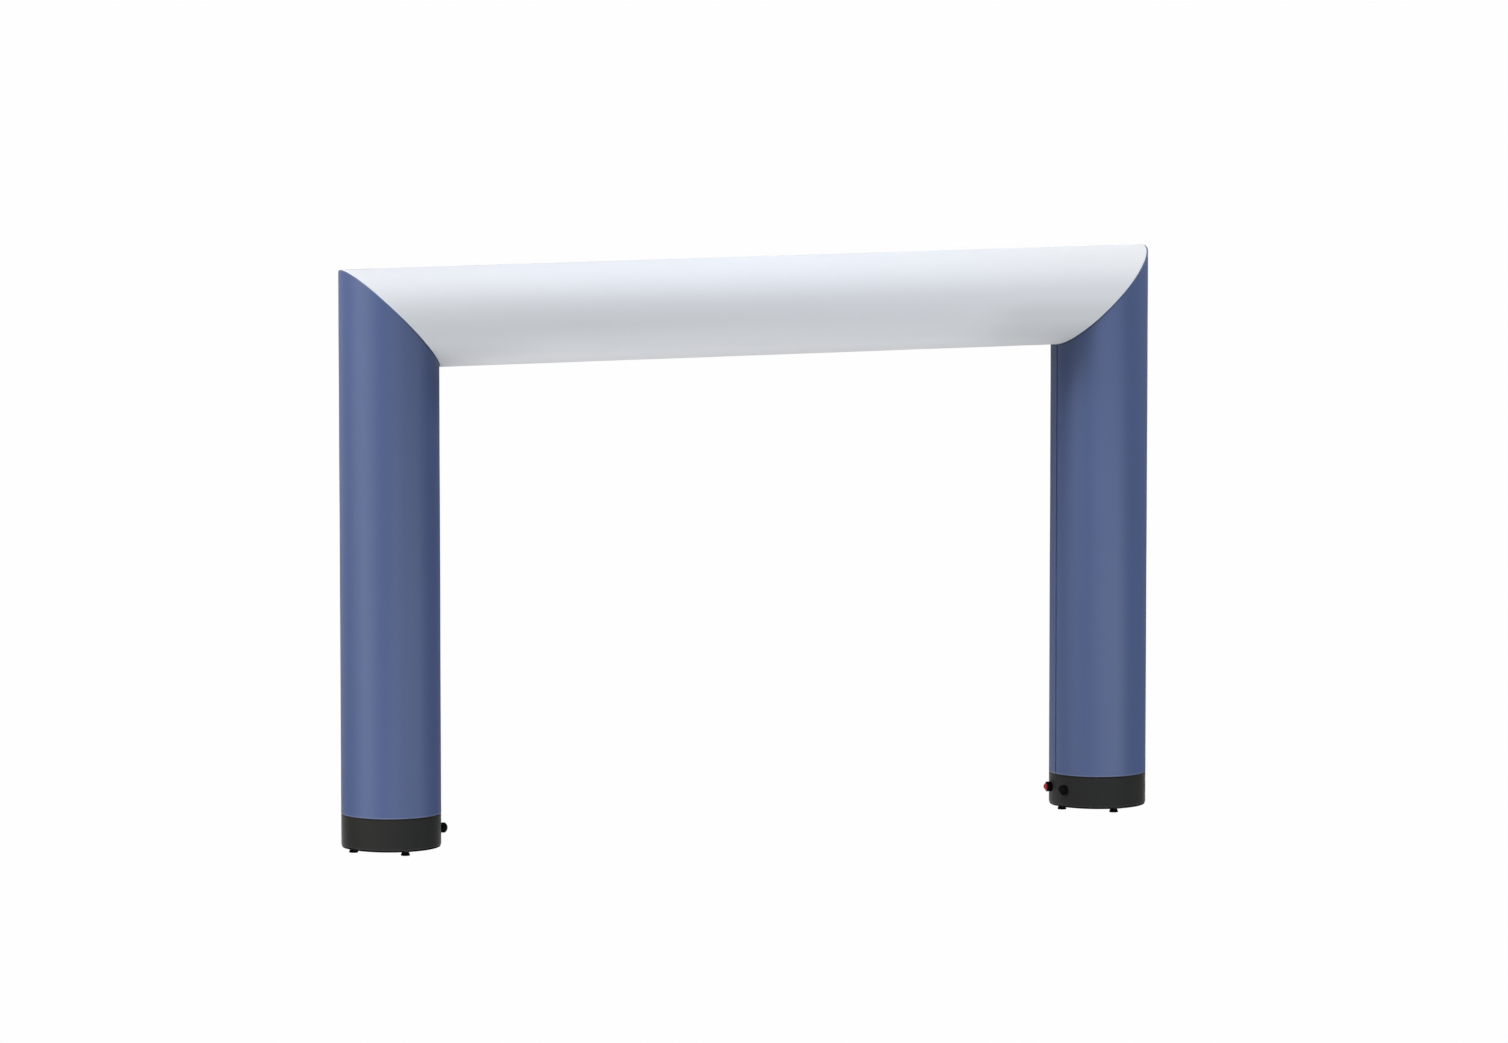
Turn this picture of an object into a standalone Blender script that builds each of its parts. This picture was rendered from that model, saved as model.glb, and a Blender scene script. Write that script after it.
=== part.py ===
"""Inflatable arch: two upright air sleeves and a crossbar sleeve, mitred together at the corners.

Each leg stands on a plastic base drum with four rubber feet. Both drums carry an air valve with
a quarter-turn cap, and the right drum also carries a relief valve with a push button.
The frame's origin is on the floor, midway between the legs. X runs along the crossbar, Z is up,
and the front of the arch looks along -Y.
"""

import math

import bmesh
import bpy
from mathutils import Vector

# Driving dimensions, in metres.
TUBE_RADIUS = 0.256
LEG_SPAN = 3.990            # between the two legs' centre lines
BAR_AXIS_HEIGHT = 2.728     # the crossbar's centre line above the floor
HEM_HEIGHT = 0.192          # where the leg sleeves end on the drums
SEAM_ROUNDING = 0.006       # the cloth rolls in this far along the mitre seams and the hems
CLOTH_SIDES = 72

STRIP_HALF_ANGLE = math.radians(5.0)    # the closing strip's half width, seen from the leg's axis
STRIP_THICKNESS = 0.0015
STRIP_FACETS = 2
STRIP_TOP_CLEARANCE = 0.003             # below the crossbar's underside

DRUM_RADIUS = 0.2555
DRUM_ROUNDING = 0.004
FOOT_HEIGHT = 0.0235
FOOT_RING_RADIUS = 0.205    # from the leg's axis to each foot's centre
FOOT_BOTTOM_RADIUS = 0.0235
FOOT_TOP_RADIUS = 0.0185
FOOT_ROUNDING = 0.001
FOOT_SIDES = 24

VALVE_HEIGHT = 0.1155                   # the air valves' axes above the floor
RELIEF_HEIGHT = 0.1188                  # the relief valve's axis above the floor
VALVE_ANGLE = math.radians(22.0)        # from the drum's inner side towards the front
RELIEF_ANGLE = math.radians(-8.0)       # a negative angle is towards the back
FITTING_STEPS = 32
COLLAR_RADIUS = 0.0262
COLLAR_LENGTH = 0.005
CAP_RADIUS = 0.0262
CAP_LENGTH = 0.0272
CAP_DOME_RISE = 0.0145
HOUSING_RADIUS = 0.0262
HOUSING_LENGTH = 0.026
HOUSING_CHAMFER = 0.001
BORE_RADIUS = 0.0188
BORE_DEPTH = 0.009
BUTTON_RADIUS = 0.0185
BUTTON_ENGAGED = 0.003      # how deep the button sits in its bore when it is out
BUTTON_WALL = 0.005
BUTTON_DOME_RISE = 0.0130
ARC_POINTS = 7              # points along a domed end

GAP = 0.0003                # between pieces that touch
ROOT_DEPTH = 0.004          # a fitting is made this much too long, then cut to the drum's wall
SMOOTH_ANGLE = math.radians(35.0)
BEVEL_ANGLE = math.radians(30.0)
MERGE_DISTANCE = 0.00001

LEG_X = LEG_SPAN / 2
SIDES = {"left": -1, "right": 1}
FOOT_DIRECTIONS = {"front": (0, -1), "back": (0, 1), "inner": (-1, 0), "outer": (1, 0)}


def clear_scene():
    """Remove every object that the file opens with."""
    for item in list(bpy.data.objects):
        bpy.data.objects.remove(item, do_unlink=True)


def new_collection(name):
    """Add a collection to the scene."""
    collection = bpy.data.collections.new(name)
    bpy.context.scene.collection.children.link(collection)
    return collection


def new_material(name, colour, roughness):
    """Make a plain non-metallic material."""
    material = bpy.data.materials.new(name)
    material.use_nodes = True
    shader = material.node_tree.nodes["Principled BSDF"]
    shader.inputs["Base Color"].default_value = (*colour, 1.0)
    shader.inputs["Roughness"].default_value = roughness
    shader.inputs["Metallic"].default_value = 0.0
    material.diffuse_color = (*colour, 1.0)
    return material


def new_empty(name, location, parent=None):
    """Place an axis that pieces hang from."""
    empty = bpy.data.objects.new(name, None)
    empty.location = location
    empty.parent = parent
    parts.objects.link(empty)
    return empty


def new_piece(name, bm, material, parent, collection=None):
    """Turn a bmesh into a named object with its material."""
    mesh = bpy.data.meshes.new(name)
    bm.to_mesh(mesh)
    bm.free()
    mesh.shade_smooth()
    mesh.set_sharp_from_angle(angle=SMOOTH_ANGLE)
    mesh.materials.append(material)
    piece = bpy.data.objects.new(name, mesh)
    piece.parent = parent
    (collection or parts).objects.link(piece)
    return piece


def round_edges(piece, width, segments=2):
    """Round a piece's sharp edges."""
    bevel = piece.modifiers.new("rounding", "BEVEL")
    bevel.width = width
    bevel.segments = segments
    bevel.limit_method = "ANGLE"
    bevel.angle_limit = BEVEL_ANGLE


def upright_cylinder(bottom_radius, top_radius, low, high, sides):
    """Make a closed cylinder or cone about the Z axis, between two heights."""
    bm = bmesh.new()
    bmesh.ops.create_cone(
        bm,
        cap_ends=True,
        segments=sides,
        radius1=bottom_radius,
        radius2=top_radius,
        depth=high - low,
    )
    bmesh.ops.translate(bm, verts=bm.verts, vec=(0, 0, (low + high) / 2))
    return bm


def cut_mitre(bm, corner, normal, keep_behind):
    """Cut a tube with the corner's plane and close the cut with one flat face."""
    offset = -GAP / 2 if keep_behind else GAP / 2
    cut = bmesh.ops.bisect_plane(
        bm,
        geom=bm.verts[:] + bm.edges[:] + bm.faces[:],
        plane_co=corner + offset * normal,
        plane_no=normal,
        clear_outer=keep_behind,
        clear_inner=not keep_behind,
    )
    ring = [item for item in cut["geom_cut"] if isinstance(item, bmesh.types.BMEdge)]
    bmesh.ops.edgeloop_fill(bm, edges=ring)
    bmesh.ops.recalc_face_normals(bm, faces=bm.faces)


def mitre_normal(side):
    """The direction square to a corner's mitre plane, from the leg to the crossbar."""
    return Vector((-side, 0, 1)).normalized()


def add_leg_sleeve(label, side, axis, material):
    """One leg's inflated sleeve, from its hem on the drum to the mitre."""
    top = BAR_AXIS_HEIGHT + 2 * TUBE_RADIUS
    bm = upright_cylinder(TUBE_RADIUS, TUBE_RADIUS, HEM_HEIGHT + GAP, top, CLOTH_SIDES)
    cut_mitre(bm, Vector((0, 0, BAR_AXIS_HEIGHT)), mitre_normal(side), keep_behind=True)
    sleeve = new_piece(f"leg_sleeve_{label}", bm, material, axis)
    round_edges(sleeve, SEAM_ROUNDING)


def add_crossbar_sleeve(material):
    """The crossbar's inflated sleeve, mitred at both ends."""
    reach = LEG_X + 2 * TUBE_RADIUS
    bm = upright_cylinder(TUBE_RADIUS, TUBE_RADIUS, -reach, reach, CLOTH_SIDES)
    bm.transform(Vector((1, 0, 0)).to_track_quat("Z", "Y").to_matrix().to_4x4())
    for side in SIDES.values():
        corner = Vector((side * LEG_X, 0, 0))
        cut_mitre(bm, corner, mitre_normal(side), keep_behind=False)
    sleeve = new_piece("crossbar_sleeve", bm, material, None)
    sleeve.location = (0, 0, BAR_AXIS_HEIGHT)
    round_edges(sleeve, SEAM_ROUNDING)


def add_closing_strip(label, side, axis, material):
    """The cloth strip sewn over a leg's lengthwise closing, on its inner side."""
    facet_angle = math.pi / CLOTH_SIDES
    radius = TUBE_RADIUS + GAP / math.cos(facet_angle)
    low = HEM_HEIGHT + GAP
    high = BAR_AXIS_HEIGHT - TUBE_RADIUS - STRIP_TOP_CLEARANCE
    middle = math.pi if side > 0 else 0.0
    start = middle - STRIP_HALF_ANGLE
    bm = bmesh.new()
    foot = bm.verts.new((radius * math.cos(start), radius * math.sin(start), low))
    head = bm.verts.new((foot.co.x, foot.co.y, high))
    edge = bm.edges.new((foot, head))
    bmesh.ops.spin(
        bm,
        geom=[foot, head, edge],
        cent=(0, 0, 0),
        axis=(0, 0, 1),
        angle=2 * STRIP_HALF_ANGLE,
        steps=STRIP_FACETS,
    )
    outward = Vector((math.cos(middle), math.sin(middle), 0))
    bm.normal_update()
    for face in bm.faces:
        if face.normal.dot(outward) < 0:
            face.normal_flip()
    strip = new_piece(f"closing_strip_{label}", bm, material, axis)
    solidify = strip.modifiers.new("thickness", "SOLIDIFY")
    solidify.thickness = STRIP_THICKNESS
    solidify.offset = 1.0
    solidify.use_even_offset = True


def add_drum(label, axis, material):
    """The plastic drum that a leg stands on."""
    bm = upright_cylinder(DRUM_RADIUS, DRUM_RADIUS, FOOT_HEIGHT, HEM_HEIGHT, CLOTH_SIDES)
    drum = new_piece(f"base_drum_{label}", bm, material, axis)
    round_edges(drum, DRUM_ROUNDING)


def add_feet(label, side, axis, material):
    """Four flared rubber feet under one drum."""
    for place, (outward, backward) in FOOT_DIRECTIONS.items():
        bm = upright_cylinder(
            FOOT_BOTTOM_RADIUS, FOOT_TOP_RADIUS, 0, FOOT_HEIGHT - GAP, FOOT_SIDES
        )
        foot = new_piece(f"foot_{label}_{place}", bm, material, axis)
        foot.location = (
            side * outward * FOOT_RING_RADIUS,
            backward * FOOT_RING_RADIUS,
            0,
        )
        round_edges(foot, FOOT_ROUNDING)


def add_drum_cutter(label, axis, material):
    """The shape that trims a fitting's root to the drum's round wall."""
    radius = DRUM_RADIUS + GAP / math.cos(math.pi / CLOTH_SIDES)
    bm = upright_cylinder(radius, radius, FOOT_HEIGHT, HEM_HEIGHT, CLOTH_SIDES)
    cutter = new_piece(f"drum_cutter_{label}", bm, material, axis, cutters)
    cutter.hide_render = True
    cutter.display_type = "WIRE"
    return cutter


def fitting_axis(name, side, angle, height, axis):
    """An empty on the drum's wall whose Z axis points straight out of it."""
    outward = Vector((-side * math.cos(angle), -math.sin(angle), 0))
    location = outward * DRUM_RADIUS + Vector((0, 0, height))
    empty = new_empty(name, location, axis)
    empty.rotation_mode = "QUATERNION"
    empty.rotation_quaternion = outward.to_track_quat("Z", "Y")
    return empty


def dome(radius, rise, shoulder):
    """Profile points of a domed end, from its tip down to its shoulder."""
    sphere_radius = (radius ** 2 + rise ** 2) / (2 * rise)
    widest = math.asin(radius / sphere_radius)
    centre = shoulder + rise - sphere_radius
    points = []
    for step in range(ARC_POINTS + 1):
        angle = widest * step / ARC_POINTS
        points.append((sphere_radius * math.sin(angle), centre + sphere_radius * math.cos(angle)))
    return points


def add_turned(name, profile, material, parent):
    """Turn a profile of (radius, height) points, given from the top down, about the Z axis."""
    bm = bmesh.new()
    verts = [bm.verts.new((radius, 0, height)) for radius, height in profile]
    for upper, lower in zip(verts, verts[1:]):
        bm.edges.new((upper, lower))
    piece = new_piece(name, bm, material, parent)
    screw = piece.modifiers.new("turning", "SCREW")
    screw.axis = "Z"
    screw.steps = FITTING_STEPS
    screw.render_steps = FITTING_STEPS
    screw.use_merge_vertices = True
    screw.merge_threshold = MERGE_DISTANCE
    screw.use_smooth_shade = True
    return piece


def trim_to_drum(piece, cutter):
    """Cut a fitting's root to the drum's wall."""
    trim = piece.modifiers.new("trim", "BOOLEAN")
    trim.operation = "DIFFERENCE"
    trim.solver = "EXACT"
    trim.object = cutter


def add_valve(label, side, axis, cutter, plastic):
    """An air valve: its collar on the drum, and the domed cap that turns on it."""
    empty = fitting_axis(f"valve_axis_{label}", side, VALVE_ANGLE, VALVE_HEIGHT, axis)
    collar_profile = [
        (0, COLLAR_LENGTH),
        (COLLAR_RADIUS, COLLAR_LENGTH),
        (COLLAR_RADIUS, -ROOT_DEPTH),
        (0, -ROOT_DEPTH),
    ]
    collar = add_turned(f"valve_collar_{label}", collar_profile, plastic, empty)
    trim_to_drum(collar, cutter)
    back = COLLAR_LENGTH + GAP
    shoulder = back + CAP_LENGTH - CAP_DOME_RISE
    cap_profile = dome(CAP_RADIUS, CAP_DOME_RISE, shoulder) + [(CAP_RADIUS, back), (0, back)]
    add_turned(f"valve_cap_{label}", cap_profile, plastic, empty)


def add_relief_valve(label, side, axis, cutter, plastic, red):
    """A relief valve: its housing on the drum, and the domed button that is pressed into it."""
    empty = fitting_axis(f"relief_axis_{label}", side, RELIEF_ANGLE, RELIEF_HEIGHT, axis)
    bore_floor = HOUSING_LENGTH - BORE_DEPTH
    housing_profile = [
        (0, bore_floor),
        (BORE_RADIUS, bore_floor),
        (BORE_RADIUS, HOUSING_LENGTH),
        (HOUSING_RADIUS - HOUSING_CHAMFER, HOUSING_LENGTH),
        (HOUSING_RADIUS, HOUSING_LENGTH - HOUSING_CHAMFER),
        (HOUSING_RADIUS, -ROOT_DEPTH),
        (0, -ROOT_DEPTH),
    ]
    housing = add_turned(f"relief_housing_{label}", housing_profile, plastic, empty)
    trim_to_drum(housing, cutter)
    back = HOUSING_LENGTH - BUTTON_ENGAGED
    shoulder = back + BUTTON_WALL
    button_profile = dome(BUTTON_RADIUS, BUTTON_DOME_RISE, shoulder)
    button_profile += [(BUTTON_RADIUS, back), (0, back)]
    add_turned(f"relief_button_{label}", button_profile, red, empty)


clear_scene()
parts = new_collection("inflatable_arch")
cutters = new_collection("cutters")

blue_cloth = new_material("blue_cloth", (0.13, 0.18, 0.36), 0.75)
white_cloth = new_material("white_cloth", (0.82, 0.83, 0.86), 0.75)
black_plastic = new_material("black_plastic", (0.022, 0.022, 0.022), 0.45)
black_fitting = new_material("black_fitting", (0.009, 0.009, 0.010), 0.40)
black_rubber = new_material("black_rubber", (0.012, 0.012, 0.012), 0.70)
red_plastic = new_material("red_plastic", (0.40, 0.02, 0.02), 0.35)

add_crossbar_sleeve(white_cloth)
for label, side in SIDES.items():
    leg_axis = new_empty(f"leg_axis_{label}", (side * LEG_X, 0, 0))
    add_leg_sleeve(label, side, leg_axis, blue_cloth)
    add_closing_strip(label, side, leg_axis, blue_cloth)
    add_drum(label, leg_axis, black_plastic)
    add_feet(label, side, leg_axis, black_rubber)
    drum_cutter = add_drum_cutter(label, leg_axis, black_plastic)
    add_valve(label, side, leg_axis, drum_cutter, black_fitting)
    if label == "right":
        add_relief_valve(label, side, leg_axis, drum_cutter, black_fitting, red_plastic)
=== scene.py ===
import math

import bpy
from mathutils import Matrix, Vector, noise

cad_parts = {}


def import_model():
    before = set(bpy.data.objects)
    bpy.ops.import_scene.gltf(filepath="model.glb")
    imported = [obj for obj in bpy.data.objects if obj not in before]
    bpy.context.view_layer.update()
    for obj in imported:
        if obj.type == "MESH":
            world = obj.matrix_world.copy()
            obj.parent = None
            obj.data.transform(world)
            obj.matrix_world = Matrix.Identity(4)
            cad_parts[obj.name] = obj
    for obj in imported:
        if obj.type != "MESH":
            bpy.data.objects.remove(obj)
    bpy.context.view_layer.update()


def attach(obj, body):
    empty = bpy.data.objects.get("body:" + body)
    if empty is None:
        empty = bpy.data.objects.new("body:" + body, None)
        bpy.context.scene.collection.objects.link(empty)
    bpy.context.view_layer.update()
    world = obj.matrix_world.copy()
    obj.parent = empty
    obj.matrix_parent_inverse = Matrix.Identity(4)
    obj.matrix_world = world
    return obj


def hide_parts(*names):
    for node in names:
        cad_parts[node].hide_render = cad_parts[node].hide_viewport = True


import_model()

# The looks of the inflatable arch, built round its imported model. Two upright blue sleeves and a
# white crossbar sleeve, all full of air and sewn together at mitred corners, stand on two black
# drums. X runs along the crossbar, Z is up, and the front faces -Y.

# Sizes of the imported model, in metres.
TUBE_RADIUS = 0.256
LEG_X = 1.995
BAR_AXIS_HEIGHT = 2.728
HEM_HEIGHT = 0.1923
SEAM_GAP = 0.0003
DRUM_RADIUS = 0.2555
DRUM_TOP = 0.192
DRUM_UNDERSIDE = 0.0235
FOOT_RING_RADIUS = 0.205
FOOT_TOP = 0.0232
STRIP_HALF_ANGLE = math.radians(5.0)
STRIP_INNER_RADIUS = 0.2563
STRIP_TOP = 2.465
VALVE_HEIGHT = 0.1155
RELIEF_HEIGHT = 0.1188
VALVE_ANGLE = math.radians(22.0)
RELIEF_ANGLE = math.radians(-8.0)
COLLAR_RADIUS = 0.0262
COLLAR_LENGTH = 0.005
CAP_RADIUS = 0.0262
CAP_LENGTH = 0.0272
CAP_DOME_RISE = 0.0145
HOUSING_RADIUS = 0.0262
HOUSING_LENGTH = 0.026
BORE_RADIUS = 0.0188
BORE_DEPTH = 0.009
BUTTON_RADIUS = 0.0185
BUTTON_ENGAGED = 0.003
BUTTON_WALL = 0.005
BUTTON_DOME_RISE = 0.013

INNER_CORNER_X = LEG_X - TUBE_RADIUS
INNER_CORNER_HEIGHT = BAR_AXIS_HEIGHT - TUBE_RADIUS

SIDES = {"left": -1, "right": 1}

# How the cloth is sewn.
AROUND = 480                # points round each sleeve
ROLL_STEPS = 6              # points over a rolled edge
ROLL_TAIL = 0.004           # and how far the cloth goes on down the cut's face
BAR_ROLL = 0.002            # the white cloth rolls in this far at a mitre
BAR_TIP_ROLL = 0.013        # and this far at its sharp outer tip
TIP_COSINE = -math.sqrt(0.5)    # between the wall and the mitre plane's normal at that tip
TIP_ROLL_SPREAD = 0.6       # how far from there, in cosine, the larger roll fades
LEG_ROLL = 0.0035           # the blue cloth rolls in this far at a mitre
HEM_ROLL = 0.0045           # and this far at its hem
ROWS_BY_SEAM = (0.002, 0.005, 0.009, 0.014, 0.020, 0.028, 0.038, 0.052, 0.070)
SHIFT_REACH = 0.10
BAR_ROWS = 60               # rows between the two seams
LEG_ROWS = 40
PUCKER_DEPTH = 0.00035
PUCKER_SPACING = 0.026
PUCKER_REACH = 0.022
BAR_MITRE_NOISE, LEG_MITRE_NOISE, LEG_HEM_NOISE = 3.0, 5.0, 9.0
SOFT_SWELL = 0.0007
SOFT_SWELL_SIZE = 0.38
SWELL_FADE = 0.15           # distance from a seam where the swell is whole
HEM_FOLD = 0.022
HEM_FOLD_THICKNESS = 0.0004
HEM_FOLD_EDGE = 0.003
CREASE_ANGLE = math.radians(5.95)
CREASE_DEPTH = 0.0016
CREASE_HALF_WIDTH = 0.010
CREASE_GATHER = 0.25        # how unevenly the crease is drawn in
CREASE_GATHER_SIZE = 0.03
STITCH_LENGTH = 0.0036
STITCH_PITCH = 0.0050
STITCH_WIDTH = 0.0010
STITCH_HEIGHT = 0.0007
STITCH_BOW, STITCH_SUNK = 1.6, 0.3      # in stitch heights
STITCH_SIDES = 5
STITCH_RINGS = (            # place along the stitch, share of its full thickness
    (-0.50, 0.00),
    (-0.42, 0.75),
    (-0.16, 1.00),
    (0.16, 1.00),
    (0.42, 0.75),
    (0.50, 0.00),
)
SEAM_STITCHES = 0.0095      # from a mitre's edge
HEM_STITCHES = 0.0190       # above the hem


# --- Finishes -------------------------------------------------------------------------------


class Reading:
    """What one socket of a finish's nodes gives. Sums with it add Math nodes."""

    def __init__(self, finish, socket):
        self.finish = finish
        self.socket = socket

    def math(self, operation, *values):
        return self.finish.node("ShaderNodeMath", {"operation": operation}, values)

    def __add__(self, other):
        return self.math("ADD", self, other)

    def __sub__(self, other):
        return self.math("SUBTRACT", self, other)

    def __rsub__(self, other):
        return self.math("SUBTRACT", other, self)

    def __mul__(self, other):
        return self.math("MULTIPLY", self, other)

    def __truediv__(self, other):
        return self.math("DIVIDE", self, other)

    def __abs__(self):
        return self.math("ABSOLUTE", self)

    def or_more(self, other):
        return self.math("MAXIMUM", self, other)

    __radd__ = __add__
    __rmul__ = __mul__


OBJECT_OUTPUT = 3           # of a Texture Coordinate node
MIX_FACTOR, MIX_FIRST, MIX_SECOND = 0, 6, 7     # a Mix node's inputs for colours
MIX_COLOUR = 2              # and its output for them


class Finish:
    """A surface finish, made of nodes."""

    def __init__(self, name):
        self.material = bpy.data.materials.new(name)
        self.material.use_nodes = True
        self.tree = self.material.node_tree
        self.shader = self.tree.nodes["Principled BSDF"]
        whole = self.node("ShaderNodeTexCoord", output=OBJECT_OUTPUT)
        split = self.node("ShaderNodeSeparateXYZ", values=[whole])
        self.x, self.y, self.z = (Reading(self, socket) for socket in split.socket.node.outputs)

    def put(self, socket, value):
        """Give a socket a number, a colour or another node's output."""
        if isinstance(value, Reading):
            self.tree.links.new(value.socket, socket)
        else:
            socket.default_value = value

    def node(self, kind, settings=(), values=(), output=0):
        """Add a node: first its settings, then its sockets by name or in order, then read one output."""
        node = self.tree.nodes.new(kind)
        for name, value in dict(settings).items():
            setattr(node, name, value)
        numbered = values.items() if isinstance(values, dict) else enumerate(values)
        for key, value in numbered:
            self.put(node.inputs[key], value)
        return Reading(self, node.outputs[output])

    def point(self, x, y, z):
        return self.node("ShaderNodeCombineXYZ", values=[x, y, z])

    def cloudy(self, where, detail):
        """Soft noise from 0 to 1 with one unit to a patch."""
        values = {"Vector": where, "Scale": 1.0, "Detail": detail, "Roughness": 0.5}
        return self.node("ShaderNodeTexNoise", {}, values)

    def patches(self, size, detail):
        """Soft noise with patches of this size in metres."""
        often = 1 / size
        return self.cloudy(self.point(self.x * often, self.y * often, self.z * often), detail)

    def between(self, value, low, high):
        """How far a value is from low to high, from 0 to 1, with soft ends."""
        values = {"Value": value, "From Min": low, "From Max": high}
        return self.node("ShaderNodeMapRange", {"interpolation_type": "SMOOTHSTEP"}, values)

    def mixed(self, share, first, second):
        """A colour between two others."""
        values = {MIX_FACTOR: share, MIX_FIRST: first, MIX_SECOND: second}
        return self.node("ShaderNodeMix", {"data_type": "RGBA"}, values, output=MIX_COLOUR)

    def relief(self, height, depth):
        """Raise the surface by height, which runs from 0 to 1, times a depth in metres."""
        values = {"Height": height, "Distance": depth, "Strength": 1.0}
        self.put(self.shader.inputs["Normal"], self.node("ShaderNodeBump", {}, values))

    def surface(self, **values):
        """Set the shader's own sockets."""
        for name, value in values.items():
            self.put(self.shader.inputs[name.replace("_", " ").title().replace("Ior", "IOR")], value)


def shade(colour, factor):
    """A colour, lighter or darker, with its alpha."""
    return (*(channel * factor for channel in colour), 1.0)


THREAD_SIZE = 0.0011
YARN_RUN = 0.030            # a thread keeps its thickness for about this long
YARN_RELIEF = 0.00022
DYE_PATCH = 0.35
YARN_SHARE, DYE_SHARE = 2.0, 1.2        # in the unevenness of the cloth's colour
CONTRAST = 1.6
PLASTIC_PATCH = 0.06
PLASTIC_GRAIN = 0.0011
PATCH_DARK, PATCH_LIGHT = 0.90, 1.10
PATCH_ROUGHNESS = 0.10
# How much lighter a drum's painted lip highlight is, and how dark the painted shade at its top rim.
LIP_HIGHLIGHT_TINT, RIM_TINT = 2.0, 0.3
SHEEN_ROUGHNESS = 0.3

EDGE_HIGHLIGHT_WHITE = (0.84, 0.90, 0.99, 1.0)     # painted highlight on the cloth's rolled edges along its seams and hem
EDGE_HIGHLIGHT_BLUE = (0.128, 0.152, 0.288, 1.0)
# Painted shade in the grooves of the seams and the hem, and how much of it.
SEAM_SHADE = (0.010, 0.013, 0.032, 1.0)
SEAM_SHADE_SHARE = 0.9
BAR_LOWER_LIGHT = 1.10           # painted light on the crossbar's lower side, against the rest
# How dark the painted shade is at its fullest, near the inner corners and at the crossbar's lower right
# end.
BAR_CORNER_SHADE, RIGHT_END_SHADE, LEG_CORNER_SHADE = 0.16, 0.10, 0.34
GROOVE_ALL_ROUND = 0.1      # how dark the painted shade in a leg's groove is at the outer tip
GROOVE_LOW_DOWN = 0.75      # and how much darker at the inner corner
GROOVE_SIDE = 0.30          # and its soft side there

# Where each mark on the cloth starts and where it is whole, in metres.
LOW_ON_CORNER = (2.90, 2.58)             # height
# Painted highlight on the cloth's rolled edges, by distance from the mitre and height above the hem.
HIGHLIGHT_BY_MITRE = (0.0075, 0.0045)         # distance from the mitre
HIGHLIGHT_BY_HEM = (0.0100, 0.0070)           # height above the hem
# Painted shade in the seams' grooves, by distance from the mitre, and in the hem's groove.
WHITE_GROOVE_SHADE = (0.0022, 0.0014)          # distance from the mitre
BLUE_GROOVE_SHADE = (0.0050, 0.0028)
BLUE_GROOVE_SHADE_SIDE = (0.0110, 0.0060)
HEM_GROOVE_SHADE = (0.0042, 0.0026)            # height above the hem
# Painted light on the crossbar's lower side:
BAR_LOWER_LIGHT_TOP = (0.03, 0.17)                 # depth below the crossbar's axis
BAR_LOWER_LIGHT_BOTTOM = (0.242, 0.196)
BAR_LOWER_LIGHT_REACH = (1.53, 1.00)               # distance along the crossbar from the painted light's middle
BAR_LOWER_LIGHT_MIDDLE = -0.08
BAR_LOWER_LIGHT_SLOPE = 0.036                      # the painted light starts lower down to the right
# Painted shade near the inner corners and at the crossbar's lower right end.
BAR_CORNER_SHADE_DEPTH = (0.10, TUBE_RADIUS)     # depth below the crossbar's axis
BAR_CORNER_SHADE_REACH = (INNER_CORNER_X - 0.30, INNER_CORNER_X + 0.10)
RIGHT_END_SHADE_DEPTH = (-0.02, 0.08)
RIGHT_END_SHADE_REACH = (1.15, 1.50)
LEG_CORNER_SHADE_INWARD = (0.05, TUBE_RADIUS * 0.9)
LEG_CORNER_SHADE_HEIGHT = (INNER_CORNER_HEIGHT - 0.34, INNER_CORNER_HEIGHT)

# The same for a drum's wall, by height: a painted highlight on its lower lip and painted shade at its top
# rim.
LIP_HIGHLIGHT_TOP = (0.0400, 0.0370)
LIP_HIGHLIGHT_BOTTOM = (0.0330, 0.0340)
RIM_SHADE = (DRUM_TOP - 0.0060, DRUM_TOP - 0.0045)


def weave(finish, along_x):
    """Warp along the tube and weft across it, as a height from 0 to 1."""
    thread, run = 1 / THREAD_SIZE, 1 / YARN_RUN

    def yarns(along, across):
        lengthwise = along if along_x else across
        upward = across if along_x else along
        where = finish.point(finish.x * lengthwise, finish.y * across, finish.z * upward)
        return finish.cloudy(where, detail=1.0)

    return (yarns(run, thread) + yarns(thread, run)) * 0.5


def white_marks(finish, colour, tint, from_seam, low_on_corner):
    """The crossbar's tint with painted light on its lower side, a painted highlight at its edges, and
    painted shade in its grooves, near its inner corners and at its lower right end.
    """
    below_axis = BAR_AXIS_HEIGHT - finish.z
    lowered = (abs(finish.x) + finish.x) * (BAR_LOWER_LIGHT_SLOPE / 2)
    lower_light = finish.between(below_axis - lowered, *BAR_LOWER_LIGHT_TOP) * finish.between(below_axis, *BAR_LOWER_LIGHT_BOTTOM)
    lower_light = lower_light * finish.between(abs(finish.x - BAR_LOWER_LIGHT_MIDDLE), *BAR_LOWER_LIGHT_REACH)
    tint = finish.mixed(lower_light, tint, shade(colour, BAR_LOWER_LIGHT))
    edge = finish.between(from_seam, *HIGHLIGHT_BY_MITRE)
    groove_shade = finish.between(from_seam, *WHITE_GROOVE_SHADE) * low_on_corner
    corner = finish.between(below_axis, *BAR_CORNER_SHADE_DEPTH) * finish.between(abs(finish.x), *BAR_CORNER_SHADE_REACH)
    low_right_end = finish.between(below_axis, *RIGHT_END_SHADE_DEPTH) * finish.between(finish.x, *RIGHT_END_SHADE_REACH)
    return finish.mixed(edge, tint, EDGE_HIGHLIGHT_WHITE), groove_shade, corner * BAR_CORNER_SHADE + low_right_end * RIGHT_END_SHADE


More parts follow.
